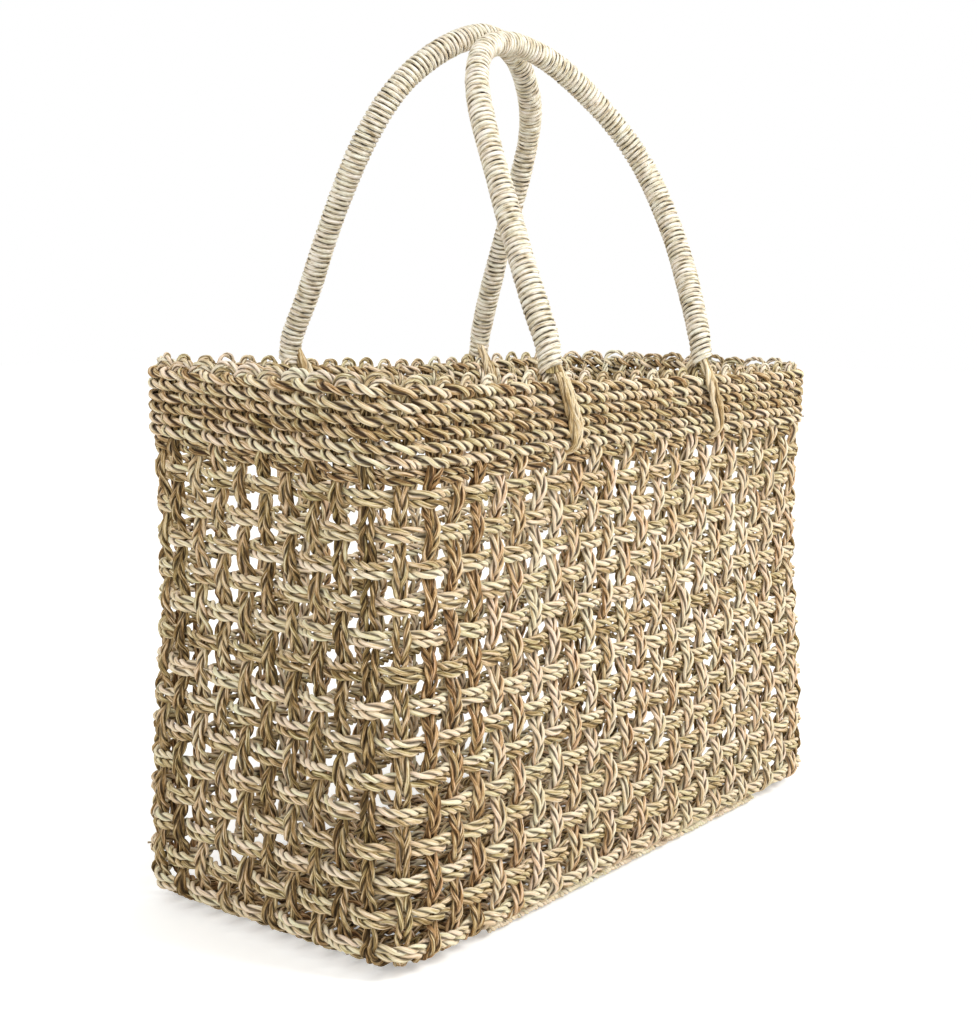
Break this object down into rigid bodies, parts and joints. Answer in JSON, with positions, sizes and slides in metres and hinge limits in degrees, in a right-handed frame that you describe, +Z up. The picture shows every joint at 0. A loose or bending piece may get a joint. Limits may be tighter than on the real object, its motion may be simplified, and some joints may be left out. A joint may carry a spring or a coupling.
{
  "type": "storage basket",
  "caption": "Oblong open basket hand-woven from twisted seagrass cord, with a dense twined band under a scalloped rim and two arched, cord-wrapped carrying handles.",
  "frame": {"origin": "middle of the footprint, at the underside of the base", "axes": "+X along the long walls, +Y from the front long wall to the back one, +Z up"},
  "size_m": [0.41, 0.1972, 0.4613],
  "materials": {
    "stake_cord": "matt plant fibre, olive straw",
    "weft_cord": "matt plant fibre, straw",
    "band_cord": "matt plant fibre, straw",
    "border_cord": "matt plant fibre, pale straw",
    "lashing_strand": "matt plant fibre, straw",
    "handle_rope": "matt plant fibre",
    "handle_wrapping": "matt plant fibre, cream"
  },
  "bodies": {
    "basket": {"cross_stakes_01": "stake_cord", "cross_stakes_02": "stake_cord", "cross_stakes_03": "stake_cord", "cross_stakes_04": "stake_cord", "cross_stakes_05": "stake_cord", "cross_stakes_06": "stake_cord", "cross_stakes_07": "stake_cord", "cross_stakes_08": "stake_cord", "cross_stakes_09": "stake_cord", "cross_stakes_10": "stake_cord", "cross_stakes_11": "stake_cord", "cross_stakes_12": "stake_cord", "length_stakes_01": "stake_cord", "length_stakes_02": "stake_cord", "length_stakes_03": "stake_cord", "length_stakes_04": "stake_cord", "length_stakes_05": "stake_cord", "corner_stake_front_left": "stake_cord", "corner_stake_front_right": "stake_cord", "corner_stake_back_right": "stake_cord", "corner_stake_back_left": "stake_cord", "weft_01": "weft_cord", "weft_02": "weft_cord", "weft_03": "weft_cord", "weft_04": "weft_cord", "weft_05": "weft_cord", "weft_06": "weft_cord", "weft_07": "weft_cord", "weft_08": "weft_cord", "weft_09": "weft_cord", "weft_10": "weft_cord", "weft_11": "weft_cord", "weft_12": "weft_cord", "weft_13": "weft_cord", "weft_14": "weft_cord", "band_row_01": "band_cord", "band_row_02": "band_cord", "band_row_03": "band_cord", "band_row_04": "band_cord", "band_row_05": "band_cord", "band_row_06": "band_cord", "band_row_07": "band_cord", "scalloped_border": "border_cord", "lashing_front_left": "lashing_strand", "lashing_front_right": "lashing_strand", "lashing_back_left": "lashing_strand", "lashing_back_right": "lashing_strand"},
    "front_handle": {"front_handle_core": "handle_rope", "front_handle_wrap": "handle_wrapping"},
    "back_handle": {"back_handle_core": "handle_rope", "back_handle_wrap": "handle_wrapping"}
  },
  "joints": [
    {"name": "front_handle_hinge", "type": "hinge", "parent": "basket", "child": "front_handle", "pos_m": [0, -0.0903, 0.2885], "axis": [1, 0, 0], "range_deg": [0, 85]},
    {"name": "back_handle_hinge", "type": "hinge", "parent": "basket", "child": "back_handle", "pos_m": [0, 0.0903, 0.2885], "axis": [-1, 0, 0], "range_deg": [0, 85]}
  ]
}
